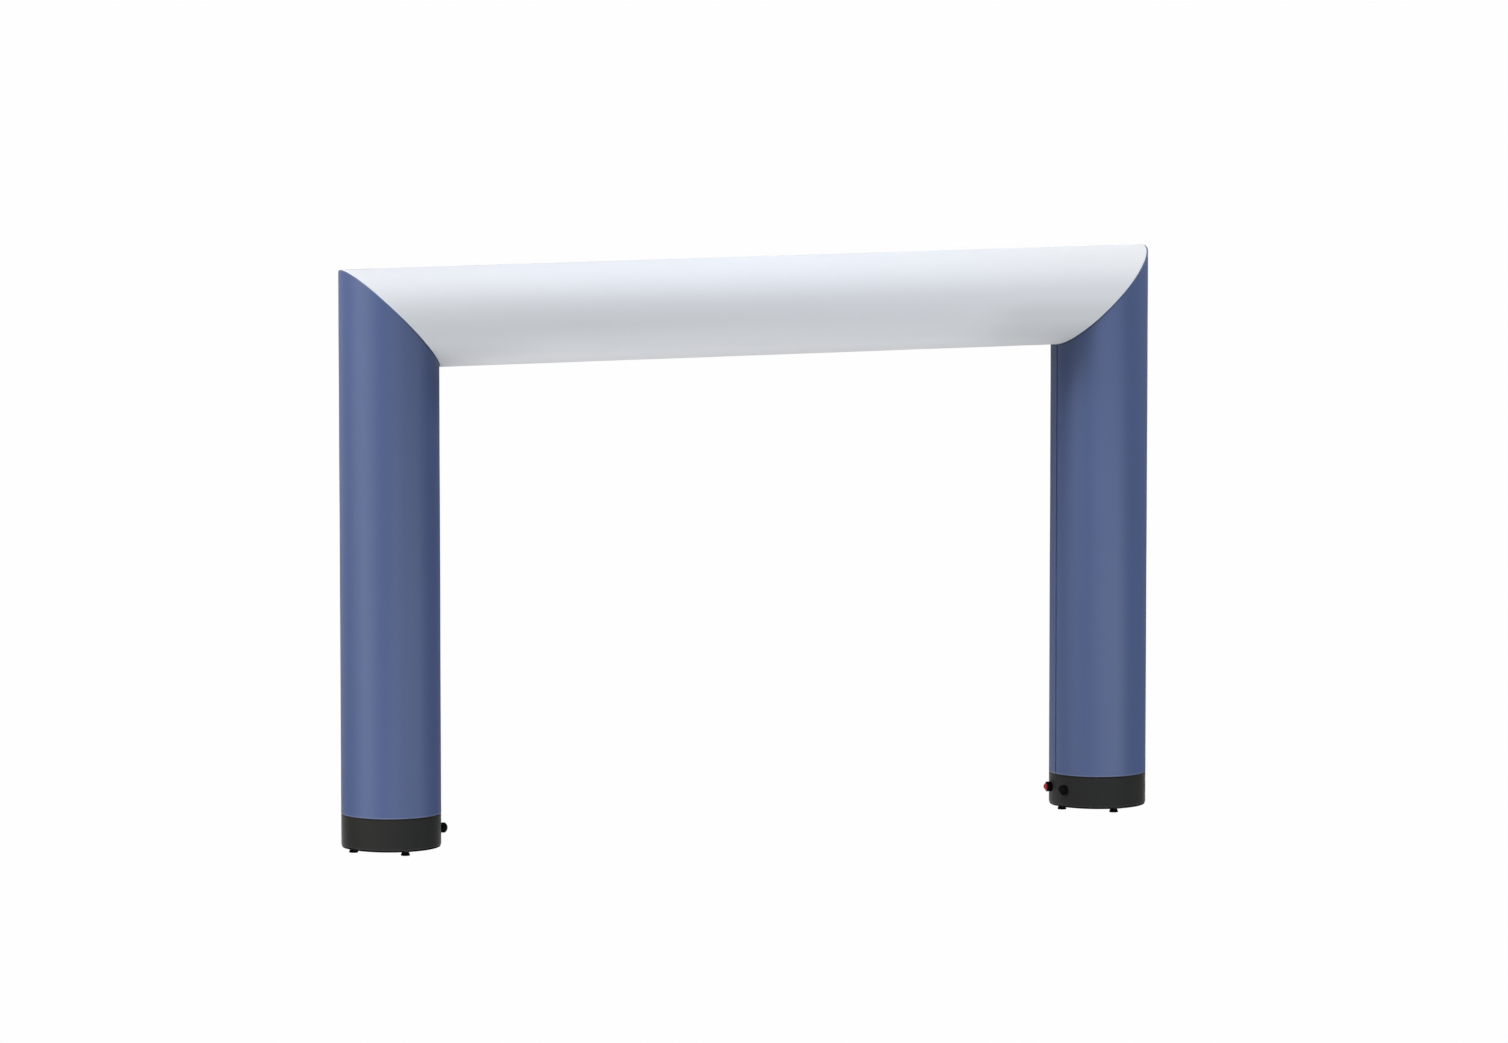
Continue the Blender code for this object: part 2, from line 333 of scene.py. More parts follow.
def blue_marks(finish, tint, from_seam, low_on_corner):
    """A leg's tint, a painted highlight on its rolled edges, and painted shade in its grooves and near its
    inner corner.
    """
    above_hem = finish.z - HEM_HEIGHT
    by_mitre = finish.between(from_seam, *HIGHLIGHT_BY_MITRE) * (1 - low_on_corner)
    edge = by_mitre.or_more(finish.between(above_hem, *HIGHLIGHT_BY_HEM))
    groove_shade = finish.between(from_seam, *BLUE_GROOVE_SHADE) * (low_on_corner * GROOVE_LOW_DOWN + GROOVE_ALL_ROUND)
    groove_shade = groove_shade.or_more(finish.between(from_seam, *BLUE_GROOVE_SHADE_SIDE) * low_on_corner * GROOVE_SIDE)
    groove_shade = groove_shade.or_more(finish.between(above_hem, *HEM_GROOVE_SHADE))
    inward = finish.between(LEG_X - abs(finish.x), *LEG_CORNER_SHADE_INWARD)
    corner = inward * finish.between(finish.z, *LEG_CORNER_SHADE_HEIGHT)
    return finish.mixed(edge, tint, EDGE_HIGHLIGHT_BLUE), groove_shade, corner * LEG_CORNER_SHADE


def woven(name, colour, along_x, roughness, sheen, unevenness):
    """Plain-woven polyester, its warp along the tube."""
    finish = Finish(name)
    yarns = weave(finish, along_x)
    dye = finish.patches(DYE_PATCH, detail=3.0)
    share = yarns * unevenness * YARN_SHARE + dye * unevenness * DYE_SHARE
    evenly = finish.between(share, 0.0, unevenness * (YARN_SHARE + DYE_SHARE))
    light, dark = 1.0 + unevenness * CONTRAST, 1.0 - unevenness * CONTRAST
    tint = finish.mixed(evenly, shade(colour, dark), shade(colour, light))
    from_seam = abs(abs(finish.x) - LEG_X - finish.z + BAR_AXIS_HEIGHT) / math.sqrt(2)
    low_on_corner = finish.between(finish.z, *LOW_ON_CORNER)
    if along_x:
        highlit_tint, groove_shade, painted_shade = white_marks(finish, colour, tint, from_seam, low_on_corner)
    else:
        highlit_tint, groove_shade, painted_shade = blue_marks(finish, tint, from_seam, low_on_corner)
    # Painted shade darkens the cloth near the inner corners and at the crossbar's lower right end.
    shaded_tint = finish.mixed(painted_shade, highlit_tint, shade(colour, 0.0))
    finish.surface(
        base_color=finish.mixed(groove_shade * SEAM_SHADE_SHARE, shaded_tint, SEAM_SHADE),
        roughness=roughness,
        sheen_weight=sheen,
        sheen_roughness=SHEEN_ROUGHNESS,
    )
    finish.relief(yarns, YARN_RELIEF)
    return finish.material


def moulded(name, colour, roughness, gloss=0.5, sheen=0.0, depth=0.00006, lips=False):
    """Moulded plastic or rubber with a fine even grain. A drum's has a painted highlight on its lower lip
    and painted shade at its top rim.
    """
    finish = Finish(name)
    patches = finish.patches(PLASTIC_PATCH, detail=3.0)
    tint = finish.mixed(patches, shade(colour, PATCH_DARK), shade(colour, PATCH_LIGHT))
    if lips:
        # Painted highlight on the lower lip, then painted shade at the top rim.
        lip_highlight = finish.between(finish.z, *LIP_HIGHLIGHT_TOP) * finish.between(finish.z, *LIP_HIGHLIGHT_BOTTOM)
        tint = finish.mixed(lip_highlight, tint, shade(colour, LIP_HIGHLIGHT_TINT))
        tint = finish.mixed(finish.between(finish.z, *RIM_SHADE), tint, shade(colour, RIM_TINT))
    finish.surface(
        base_color=tint,
        roughness=patches * PATCH_ROUGHNESS + (roughness - PATCH_ROUGHNESS / 2),
        specular_ior_level=gloss,
        sheen_weight=sheen,
        sheen_roughness=SHEEN_ROUGHNESS,
    )
    finish.relief(finish.patches(PLASTIC_GRAIN, detail=2.0), depth)
    return finish.material


blue = woven("blue_polyester", (0.068, 0.103, 0.242), False, roughness=0.50, sheen=0.10, unevenness=0.05)
white = woven("white_polyester", (0.82, 0.83, 0.86), True, roughness=0.78, sheen=0.20, unevenness=0.012)
blue_thread = moulded("blue_thread", (0.064, 0.096, 0.225), 0.60, sheen=0.1)
white_thread = moulded("white_thread", (0.80, 0.81, 0.84), 0.60, sheen=0.1)
drum_black = moulded("drum_plastic", (0.0133, 0.0133, 0.0133), 0.70, gloss=0.25, sheen=0.42, lips=True)
base_black = moulded("base_ring_plastic", (0.004, 0.004, 0.004), 0.80, gloss=0.10)
fitting_black = moulded("fitting_plastic", (0.0024, 0.0024, 0.0024), 0.62, gloss=0.05)
rubber_black = moulded("foot_rubber", (0.0025, 0.0025, 0.0025), 0.85, gloss=0.04)
button_red = moulded("button_plastic", (0.40, 0.012, 0.010), 0.36, gloss=0.35, depth=0.00002)


# --- Making shapes ----------------------------------------------------------------------------


def skinned(name, rings, finish):
    """Skin closed rings of points into a solid. A ring of one point is a pole."""
    points, starts = [], []
    for ring in rings:
        starts.append(len(points))
        points.extend(ring)
    faces = []
    for low_ring, high_ring, low, high in zip(rings, rings[1:], starts, starts[1:]):
        count = max(len(low_ring), len(high_ring))
        for i in range(count):
            j = (i + 1) % count
            if len(low_ring) == 1:
                faces.append((low, high + j, high + i))
            elif len(high_ring) == 1:
                faces.append((low + i, low + j, high))
            else:
                faces.append((low + i, low + j, high + j, high + i))
    if len(rings[0]) > 1:
        faces.append(tuple(reversed(range(len(rings[0])))))
    if len(rings[-1]) > 1:
        faces.append(tuple(range(starts[-1], starts[-1] + len(rings[-1]))))
    return shown(name, points, faces, finish)


def shown(name, points, faces, finish):
    """Put a smooth mesh of these points and faces into the scene."""
    mesh = bpy.data.meshes.new(name)
    mesh.from_pydata([tuple(point) for point in points], [], faces)
    mesh.shade_smooth()
    mesh.materials.append(finish)
    piece = bpy.data.objects.new(name, mesh)
    bpy.context.scene.collection.objects.link(piece)
    return piece


def rounded(corners, steps=5):
    """An outline of (radius, height, rounding) corners, each eased over its rounding."""
    outline = []
    for index, (radius, height, rounding) in enumerate(corners):
        corner = Vector((radius, height))
        if rounding == 0:
            outline.append(corner)
            continue
        before = Vector(corners[index - 1][:2]) - corner
        after = Vector(corners[index + 1][:2]) - corner
        first = corner + before.normalized() * rounding
        last = corner + after.normalized() * rounding
        for step in range(steps + 1):
            t = step / steps
            outline.append(first.lerp(corner, t).lerp(corner.lerp(last, t), t))
    return outline


def turned(name, outline, sides, place, finish, reshape=None):
    """Turn an outline of (radius, height) points, from the base up, about its axis."""
    rings = []
    for radius, height in outline:
        if radius == 0:
            rings.append([place @ Vector((0, 0, height))])
            continue
        ring = []
        for step in range(sides):
            angle = math.tau * step / sides
            far = reshape(angle, radius, height) if reshape else radius
            ring.append(place @ Vector((far * math.cos(angle), far * math.sin(angle), height)))
        rings.append(ring)
    return skinned(name, rings, finish)


def ease(value):
    """A soft step from 0 to 1."""
    value = min(max(value, 0.0), 1.0)
    return value * value * (3 - 2 * value)


# --- Sleeves ----------------------------------------------------------------------------------


def mitre_normal(side):
    """Square to a corner's mitre plane, from the leg to the crossbar."""
    return Vector((-side, 0, 1)).normalized()


class Tube:
    """An air-filled sleeve about an axis, cut by a plane at each end."""

    def __init__(self, origin, axis, across, ends, dips):
        self.origin = Vector(origin)
        self.axis = Vector(axis)
        self.across = Vector(across)
        self.beside = self.axis.cross(self.across)
        self.ends = ends
        self.dips = dips

    def outward(self, angle):
        return self.across * math.cos(angle) + self.beside * math.sin(angle)

    def surface(self, angle, along):
        """A point of the swollen wall."""
        outward = self.outward(angle)
        smooth = self.origin + self.axis * along + outward * TUBE_RADIUS
        return smooth - outward * self.dips(smooth, outward, angle)

    def cut(self, end, angle):
        """How far along the axis an end's plane cuts the wall."""
        place, normal, _ = self.ends[end]
        start = self.origin + self.outward(angle) * TUBE_RADIUS
        return (place - start).dot(normal) / self.axis.dot(normal)

    def rolled_edge(self, end, angle):
        """Points from the wall over the rolled edge and a little way down the cut's face."""
        place, normal, roll = self.ends[end]
        outward = self.outward(angle)
        corner = self.origin + self.axis * self.cut(end, angle) + outward * TUBE_RADIUS
        cosine = outward.dot(normal)
        turn = math.acos(cosine)
        radius = roll(cosine) / math.tan(turn / 2)
        centre = corner - (outward + normal) * (radius / (1 + cosine))
        points = []
        for step in range(ROLL_STEPS + 1):
            part = turn * step / ROLL_STEPS
            facing = outward * math.sin(turn - part) + normal * math.sin(part)
            dip = self.dips(centre, outward, angle) * (1 - step / ROLL_STEPS)
            points.append(centre + facing * (radius / math.sin(turn)) - outward * dip)
        inward = (outward - normal * cosine) / -math.sin(turn)
        points.append(points[-1] + inward * ROLL_TAIL)
        return points

    def column(self, angle, middle_rows):
        """Points along the sleeve, from one cut's face to the other's."""
        edges = [self.rolled_edge(end, angle) for end in (0, 1)]
        reach, shift = [], []
        for edge in edges:
            first = edge[0] - self.origin
            reach.append(first.dot(self.axis))
            turned_by = math.atan2(first.dot(self.beside), first.dot(self.across)) - angle
            shift.append((turned_by + math.pi) % math.tau - math.pi)
        low, high = reach
        rows = [low + step for step in ROWS_BY_SEAM]
        first, last = low + ROWS_BY_SEAM[-1], high - ROWS_BY_SEAM[-1]
        rows += [first + (last - first) * row / (middle_rows + 1) for row in range(1, middle_rows + 1)]
        rows += [high - step for step in reversed(ROWS_BY_SEAM)]
        wall = []
        for along in rows:
            moved = shift[0] * (1 - ease((along - low) / SHIFT_REACH))
            moved += shift[1] * (1 - ease((high - along) / SHIFT_REACH))
            wall.append(self.surface(angle + moved, along))
        return edges[0][::-1] + wall + edges[1]

    def build(self, name, middle_rows, finish):
        columns = [self.column(math.tau * i / AROUND, middle_rows) for i in range(AROUND)]
        return skinned(name, list(zip(*columns)), finish)


def puckers(distance, along_seam, noise_row):
    """How far the stitches of a seam draw the cloth in beside it."""
    if distance > 6 * PUCKER_REACH:
        return 0.0
    wave = noise.noise(Vector((along_seam / PUCKER_SPACING, noise_row, 0.5)))
    return PUCKER_DEPTH * (0.5 + wave) * math.exp(-distance / PUCKER_REACH)


def from_mitre(place):
    """How far a point is from the nearer corner's mitre plane."""
    return abs(abs(place.x) - LEG_X - (place.z - BAR_AXIS_HEIGHT)) / math.sqrt(2)


def soft_swell(place):
    """Slow unevenness of cloth under pressure."""
    return SOFT_SWELL * noise.noise(place / SOFT_SWELL_SIZE)


def toward_inner(side, angle):
    """A level direction on a leg, measured from its inner side towards the front."""
    return Vector((-side * math.cos(angle), -math.sin(angle), 0))


def bar_dips(place, outward, angle):
    """How far the crossbar's cloth lies inside a true tube."""
    mitre = from_mitre(place)
    drawn_in = puckers(mitre, angle * TUBE_RADIUS, BAR_MITRE_NOISE)
    return soft_swell(place) * ease(mitre / SWELL_FADE) + drawn_in


def leg_dips(side):
    """How far a leg's cloth lies inside a true tube: at its crease, seams and above the hem's fold."""
    crease = toward_inner(side, CREASE_ANGLE)

    def dips(place, outward, angle):
        mitre = from_mitre(place)
        hem = place.z - HEM_HEIGHT
        total = soft_swell(place) * ease(mitre / SWELL_FADE) * ease(hem / SWELL_FADE)
        total += puckers(mitre, angle * TUBE_RADIUS, LEG_MITRE_NOISE + side)
        total += puckers(hem, angle * TUBE_RADIUS, LEG_HEM_NOISE + side)
        total += HEM_FOLD_THICKNESS * ease((hem - HEM_FOLD) / HEM_FOLD_EDGE)
        beside = TUBE_RADIUS * outward.angle(crease)
        if beside < 3 * CREASE_HALF_WIDTH:
            uneven = noise.noise(Vector((0, 2.0 * side, place.z / CREASE_GATHER_SIZE)))
            near = math.exp(-((beside / CREASE_HALF_WIDTH) ** 2))
            total += CREASE_DEPTH * (1 + CREASE_GATHER * uneven) * near
        return total

    return dips


def bar_roll(cosine):
    """How far the crossbar rolls in at a mitre, from its sharp outer tip round to its inner corner."""
    return BAR_TIP_ROLL + (BAR_ROLL - BAR_TIP_ROLL) * ease((cosine - TIP_COSINE) / TIP_ROLL_SPREAD)


def leg_roll(cosine):
    return LEG_ROLL


def hem_roll(cosine):
    return HEM_ROLL


def corner_point(side):
    return Vector((side * LEG_X, 0, BAR_AXIS_HEIGHT))


def crossbar_tube():
    ends = []
    for side in (-1, 1):
        normal = -mitre_normal(side)
        ends.append((corner_point(side) - normal * (SEAM_GAP / 2), normal, bar_roll))
    return Tube((0, 0, BAR_AXIS_HEIGHT), (1, 0, 0), (0, 0, 1), ends, bar_dips)


def leg_tube(side):
    down = Vector((0, 0, -1))
    normal = mitre_normal(side)
    ends = [
        (Vector((side * LEG_X, 0, HEM_HEIGHT)), down, hem_roll),
        (corner_point(side) - normal * (SEAM_GAP / 2), normal, leg_roll),
    ]
    return Tube((side * LEG_X, 0, 0), (0, 0, 1), (1, 0, 0), ends, leg_dips(side))


def rides_arch(piece):
    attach(piece, "arch")
    return piece


bar_tube = crossbar_tube()
leg_tubes = {label: leg_tube(side) for label, side in SIDES.items()}

bar = bar_tube.build("crossbar_cloth", BAR_ROWS, white)
rides_arch(bar)
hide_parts("crossbar_sleeve")
for label, tube in leg_tubes.items():
    leg = tube.build(f"leg_cloth_{label}", LEG_ROWS, blue)
    rides_arch(leg)
    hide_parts(f"leg_sleeve_{label}")


# --- Closing strips -----------------------------------------------------------------------------


STRIP_LENGTH = STRIP_TOP - HEM_HEIGHT
STRIP_SECTION = (           # share of the width from the back edge, height over the sleeve
    (0.000, 0.00000),
    (0.010, 0.00035),
    (0.060, 0.00060),
    (0.110, 0.00045),       # drawn down by the stitches
    (0.170, 0.00075),
    (0.300, 0.00110),
    (0.500, 0.00140),
    (0.700, 0.00150),
    (0.830, 0.00135),
    (0.885, 0.00105),       # drawn down again
    (0.940, 0.00145),
    (0.975, 0.00140),
    (0.995, 0.00100),
    (1.000, 0.00050),
)
STRIP_UNDERSIDE = (1.0, 0.75, 0.5, 0.25)
STRIP_STITCHES = ((0.11, 0.0005), (0.885, 0.0011))      # the same two measures for each row of stitches
STRIP_CLEARANCE = 0.00002
STRIP_END_ROWS = (0.0, 0.001, 0.003, 0.006, 0.010, 0.015)
STRIP_MIDDLE_ROWS = 140
STRIP_END_EASE = 0.012      # its thickness comes in over this length at each end
STRIP_END_THICKNESS = 0.15
STRIP_WANDER = 0.004        # share of the width by which its edges wander
STRIP_WANDER_SIZE = 0.16
STRIP_STITCH_ROWS = 400
STRIP_STITCH_START = 0.016  # from each end


def strip_angle(side, share, height):
    """How far round its leg a share of a strip's width lies, at a height."""
    wander = STRIP_WANDER * noise.noise(Vector((height / STRIP_WANDER_SIZE, 4.0 * side, 0)))
    return STRIP_HALF_ANGLE * (2 * share - 1) * (1 + wander)


def closing_strip(label, side):
    """The strip over a leg's lengthwise closing, sewn flat at its back edge and proud at its front."""
    rings = []
    start = STRIP_END_ROWS[-1]
    step = (STRIP_LENGTH - 2 * start) / STRIP_MIDDLE_ROWS
    rises = [*STRIP_END_ROWS, *(start + step * row for row in range(1, STRIP_MIDDLE_ROWS))]
    rises += [STRIP_LENGTH - rise for rise in reversed(STRIP_END_ROWS)]
    for rise in rises:
        height = HEM_HEIGHT + rise
        inside = ease(min(rise, STRIP_LENGTH - rise) / STRIP_END_EASE)
        full = STRIP_END_THICKNESS + (1 - STRIP_END_THICKNESS) * inside
        ring = []
        for share, lift in STRIP_SECTION:
            far = STRIP_INNER_RADIUS + STRIP_CLEARANCE + lift * full
            ring.append(toward_inner(side, strip_angle(side, share, height)) * far)
        for share in STRIP_UNDERSIDE:
            ring.append(toward_inner(side, strip_angle(side, share, height)) * STRIP_INNER_RADIUS)
        if side < 0:
            ring.reverse()
        rings.append([point + Vector((side * LEG_X, 0, height)) for point in ring])
    strip = skinned(f"closing_strip_cloth_{label}", rings, blue)
    rides_arch(strip)
    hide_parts(f"closing_strip_{label}")


for label, side in SIDES.items():
    closing_strip(label, side)


# --- Stitching ------------------------------------------------------------------------------------


class Stitching:
    """Rows of thread stitches that become one piece."""

    def __init__(self):
        self.points = []
        self.faces = []

    def stitch(self, middle, along, outward):
        """One bowed stitch, half sunk in the cloth."""
        across = along.cross(outward)
        start = len(self.points)
        for step, fullness in STITCH_RINGS:
            bow = (0.25 - step * step) * STITCH_HEIGHT * STITCH_BOW
            sunk = STITCH_HEIGHT * STITCH_SUNK
            centre = middle + along * (step * STITCH_LENGTH) + outward * (bow - sunk)
            if fullness == 0:
                self.points.append(centre)
                continue
            for corner in range(STITCH_SIDES):
                angle = math.tau * (corner + 0.25) / STITCH_SIDES
                wide = across * (math.cos(angle) * STITCH_WIDTH / 2 * fullness)
                high = outward * (math.sin(angle) * STITCH_HEIGHT / 2 * fullness)
                self.points.append(centre + wide + high)
        first, end = start + 1, len(self.points) - 1
        last = end - STITCH_SIDES
        for corner in range(STITCH_SIDES):
            beside = (corner + 1) % STITCH_SIDES
            self.faces.append((start, first + beside, first + corner))
            for low in range(first, last, STITCH_SIDES):
                high = low + STITCH_SIDES
                self.faces.append((low + corner, low + beside, high + beside, high + corner))
            self.faces.append((last + corner, last + beside, end))

    def row(self, path, outward_at, closed):
        """Even stitches along a path of points, with the way out of the cloth at each."""
        if closed:
            path = path + path[:1]
            outward_at = outward_at + outward_at[:1]
        walked = 0.0
        due = STITCH_PITCH / 2
        for first, last, out_first, out_last in zip(path, path[1:], outward_at, outward_at[1:]):
            step = last - first
            length = step.length
            while due < walked + length:
                share = (due - walked) / length
                outward = out_first.lerp(out_last, share).normalized()
                along = (step - outward * step.dot(outward)).normalized()
                self.stitch(first.lerp(last, share), along, outward)
                due += STITCH_PITCH
            walked += length

    def piece(self, name, finish, slot):
        rides_arch(shown(name, self.points, self.faces, finish))


def row_by_seam(stitching, tube, end, distance):
    """A row of stitches round a sleeve, this far along the cloth from one of its ends."""
    path, outwards = [], []
    _, normal, _ = tube.ends[end]
    inward = -1 if tube.axis.dot(normal) > 0 else 1
    for step in range(AROUND):
        angle = math.tau * step / AROUND
        outward = tube.outward(angle)
        sideways = tube.axis.cross(outward).dot(normal) / tube.axis.dot(normal)
        reach = distance * math.sqrt(1 + sideways * sideways)
        path.append(tube.surface(angle, tube.cut(end, angle) + inward * reach))
        outwards.append(outward)
    stitching.row(path, outwards, closed=True)


def row_by_strip(stitching, side, share, lift):
    """A row of stitches up a closing strip, this share of its width from the back edge."""
    outward = toward_inner(side, STRIP_HALF_ANGLE * (2 * share - 1))
    sewn = STRIP_LENGTH - 2 * STRIP_STITCH_START
    path = []
    for step in range(STRIP_STITCH_ROWS + 1):
        height = HEM_HEIGHT + STRIP_STITCH_START + sewn * step / STRIP_STITCH_ROWS
        far = toward_inner(side, strip_angle(side, share, height)) * (STRIP_INNER_RADIUS + lift)
        path.append(far + Vector((side * LEG_X, 0, height)))
    stitching.row(path, [outward] * len(path), closed=False)


crossbar_stitching = Stitching()
for end in (0, 1):
    row_by_seam(crossbar_stitching, bar_tube, end, SEAM_STITCHES)
crossbar_stitching.piece("crossbar_stitches", white_thread, "white_cloth")
for label, side in SIDES.items():
    leg_stitching = Stitching()
    row_by_seam(leg_stitching, leg_tubes[label], 0, HEM_STITCHES)
    row_by_seam(leg_stitching, leg_tubes[label], 1, SEAM_STITCHES)
    for share, lift in STRIP_STITCHES:
        row_by_strip(leg_stitching, side, share, lift)
    leg_stitching.piece(f"leg_stitches_{label}", blue_thread, "blue_cloth")


# --- Drums, feet and fittings ---------------------------------------------------------------------


BASE_RING_TOP = 0.0325
BASE_RING_RADIUS = 0.2520
RING_WALL_DEPTH = 0.004     # points of the base ring this near its wall move out for a boss
BOSS_HALF_ANGLE = math.radians(4.6)
BOSS_EDGE = math.radians(0.6)
BOSS_SET_BACK = 0.0002      # from the drum's wall
FITTING_ROOT = -0.0009      # a fitting starts this far inside the drum's wall
DRUM_SIDES, FITTING_SIDES, FOOT_SIDES = 720, 96, 64
GRIP_RIBS = 22
CAP_SIDES = 16 * GRIP_RIBS
RIB_DEPTH = 0.0011
RIB_FADE = 0.0015
CAP_ROWS = 8
DOME_STEPS = 14
QUARTERS = {                # of a drum's feet: share towards the outside, share towards the back
    "front": (0, -1),
    "back": (0, 1),
    "inner": (-1, 0),
    "outer": (1, 0),
}


def drum(label, side):
    """A leg's drum: a satin wall over a slightly smaller base ring, with a boss over each foot."""
    outline = rounded([
        (0.0, DRUM_UNDERSIDE, 0),
        (BASE_RING_RADIUS, DRUM_UNDERSIDE, 0.0015),
        (BASE_RING_RADIUS, BASE_RING_TOP, 0.0004),
        (DRUM_RADIUS, BASE_RING_TOP + 0.0006, 0.0020),
        (DRUM_RADIUS, DRUM_TOP, 0.0055),
        (0.0, DRUM_TOP, 0),
    ])

    def with_bosses(angle, radius, height):
        if height > BASE_RING_TOP or radius < BASE_RING_RADIUS - RING_WALL_DEPTH:
            return radius
        nearest = round(angle / (math.pi / 2)) * math.pi / 2
        boss = 1 - ease((abs(angle - nearest) - BOSS_HALF_ANGLE) / BOSS_EDGE)
        return radius + boss * (DRUM_RADIUS - BOSS_SET_BACK - BASE_RING_RADIUS)

    place = Matrix.Translation((side * LEG_X, 0, 0))
    body = turned(f"drum_{label}", outline, DRUM_SIDES, place, drum_black, with_bosses)
    body.data.materials.append(base_black)
    for face in body.data.polygons:
        middle = face.center - Vector((side * LEG_X, 0, 0))
        if middle.z < BASE_RING_TOP and middle.xy.length < BASE_RING_RADIUS + 0.0015:
            face.material_index = 1
    rides_arch(body)
    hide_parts(f"base_drum_{label}")


def foot(label, quarter, x, y):
    """A flared rubber foot on its stem."""
    outline = rounded([
        (0.0, 0.0, 0),
        (0.0234, 0.0, 0.0010),
        (0.0234, 0.0042, 0.0015),
        (0.0200, 0.0138, 0.0030),
        (0.0190, 0.0148, 0.0004),
        (0.0185, FOOT_TOP, 0.0004),
        (0.0, FOOT_TOP, 0),
    ])
    place = Matrix.Translation((x, y, 0))
    piece = turned(f"rubber_foot_{label}_{quarter}", outline, FOOT_SIDES, place, rubber_black)
    rides_arch(piece)
    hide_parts(f"foot_{label}_{quarter}")


def fitting_place(side, angle, height):
    """The frame of a fitting on a drum's wall, its Z axis straight out."""
    outward = toward_inner(side, angle)
    place = outward * DRUM_RADIUS + Vector((side * LEG_X, 0, height))
    return Matrix.Translation(place) @ outward.to_track_quat("Z", "Y").to_matrix().to_4x4()


def dome(radius, rise, shoulder):
    """Outline points of a domed end, from its shoulder up to its tip."""
    ball = (radius ** 2 + rise ** 2) / (2 * rise)
    widest = math.asin(radius / ball)
    centre = shoulder + rise - ball
    points = []
    for step in range(DOME_STEPS, -1, -1):
        angle = widest * step / DOME_STEPS
        points.append(Vector((ball * math.sin(angle), centre + ball * math.cos(angle))))
    points[-1].x = 0.0
    return points


def ribbed(low, high):
    """Grip ribs round a turned piece, between two heights."""

    def reshape(angle, radius, height):
        if not low < height < high:
            return radius
        fade = ease((height - low) / RIB_FADE) * ease((high - height) / RIB_FADE)
        valley = 0.5 - 0.5 * math.cos(angle * GRIP_RIBS)
        return radius - RIB_DEPTH * fade * valley ** 3

    return reshape


def valve(label, side):
    """An air valve: a collar on the drum and a domed cap with grip ribs."""
    place = fitting_place(side, VALVE_ANGLE, VALVE_HEIGHT)
    collar_outline = rounded([
        (0.0, FITTING_ROOT, 0),
        (COLLAR_RADIUS, FITTING_ROOT, 0),
        (COLLAR_RADIUS, COLLAR_LENGTH, 0.0010),
        (0.0, COLLAR_LENGTH, 0),
    ])
    collar = turned(f"collar_{label}", collar_outline, FITTING_SIDES, place, fitting_black)
    rides_arch(collar)
    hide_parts(f"valve_collar_{label}")
    back = COLLAR_LENGTH + SEAM_GAP
    shoulder = back + CAP_LENGTH - CAP_DOME_RISE
    wall = [(CAP_RADIUS, back + (shoulder - back) * row / CAP_ROWS, 0) for row in range(1, CAP_ROWS)]
    cap_outline = rounded([(0.0, back, 0), (CAP_RADIUS, back, 0.0007), *wall])
    cap_outline += dome(CAP_RADIUS, CAP_DOME_RISE, shoulder)
    ribs = ribbed(back + 0.0005, shoulder + 0.003)
    cap = turned(f"cap_{label}", cap_outline, CAP_SIDES, place, fitting_black, ribs)
    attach(cap, f"cap_{label}")
    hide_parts(f"valve_cap_{label}")


def relief_valve(label, side):
    """A relief valve: a housing and the red button that is pressed into it."""
    place = fitting_place(side, RELIEF_ANGLE, RELIEF_HEIGHT)
    bore_floor = HOUSING_LENGTH - BORE_DEPTH
    housing_outline = rounded([
        (0.0, FITTING_ROOT, 0),
        (HOUSING_RADIUS, FITTING_ROOT, 0),
        (HOUSING_RADIUS, HOUSING_LENGTH, 0.0014),
        (BORE_RADIUS, HOUSING_LENGTH, 0.0006),
        (BORE_RADIUS, bore_floor, 0.0003),
        (0.0, bore_floor, 0),
    ])
    housing = turned(f"relief_body_{label}", housing_outline, FITTING_SIDES, place, fitting_black)
    rides_arch(housing)
    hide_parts(f"relief_housing_{label}")
    back = HOUSING_LENGTH - BUTTON_ENGAGED
    shoulder = back + BUTTON_WALL
    bevel = 0.0005
    button_outline = [
        Vector((0.0, back)),
        Vector((BUTTON_RADIUS - bevel, back)),
        Vector((BUTTON_RADIUS, back + bevel)),
        *dome(BUTTON_RADIUS, BUTTON_DOME_RISE, shoulder),
    ]
    button = turned(f"relief_dome_{label}", button_outline, FITTING_SIDES, place, button_red)
    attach(button, f"button_{label}")
    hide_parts(f"relief_button_{label}")


for label, side in SIDES.items():
    drum(label, side)
    for quarter, (outward, backward) in QUARTERS.items():
        foot(label, quarter, side * (LEG_X + outward * FOOT_RING_RADIUS), backward * FOOT_RING_RADIUS)
    valve(label, side)
relief_valve("right", SIDES["right"])


# --- Studio -------------------------------------------------------------------------------------


CAMERA_AZIMUTH = math.radians(22.931)
CAMERA_ELEVATION = math.radians(6.163)
CAMERA_AIM = Vector((0.0194, 0, 1.6055))
CAMERA_DISTANCE = 42.479
SENSOR_WIDTH = 36.0
LENS_REACH = 8184.26 / 1508     # distance over the width that just fills the picture
VIEW_REACH = 500.0


def camera():
    """A long lens, a little above the crossbar and to the left of the middle."""
    ahead = Vector((
        math.sin(CAMERA_AZIMUTH) * math.cos(CAMERA_ELEVATION),
        math.cos(CAMERA_AZIMUTH) * math.cos(CAMERA_ELEVATION),
        -math.sin(CAMERA_ELEVATION),
    ))
    lens = bpy.data.cameras.new("camera")
    lens.sensor_width = SENSOR_WIDTH
    lens.lens = SENSOR_WIDTH * LENS_REACH
    lens.clip_end = VIEW_REACH
    eye = bpy.data.objects.new("camera", lens)
    eye.location = CAMERA_AIM - ahead * CAMERA_DISTANCE
    eye.rotation_mode = "QUATERNION"
    eye.rotation_quaternion = ahead.to_track_quat("-Z", "Y")
    bpy.context.scene.collection.objects.link(eye)
    bpy.context.scene.camera = eye


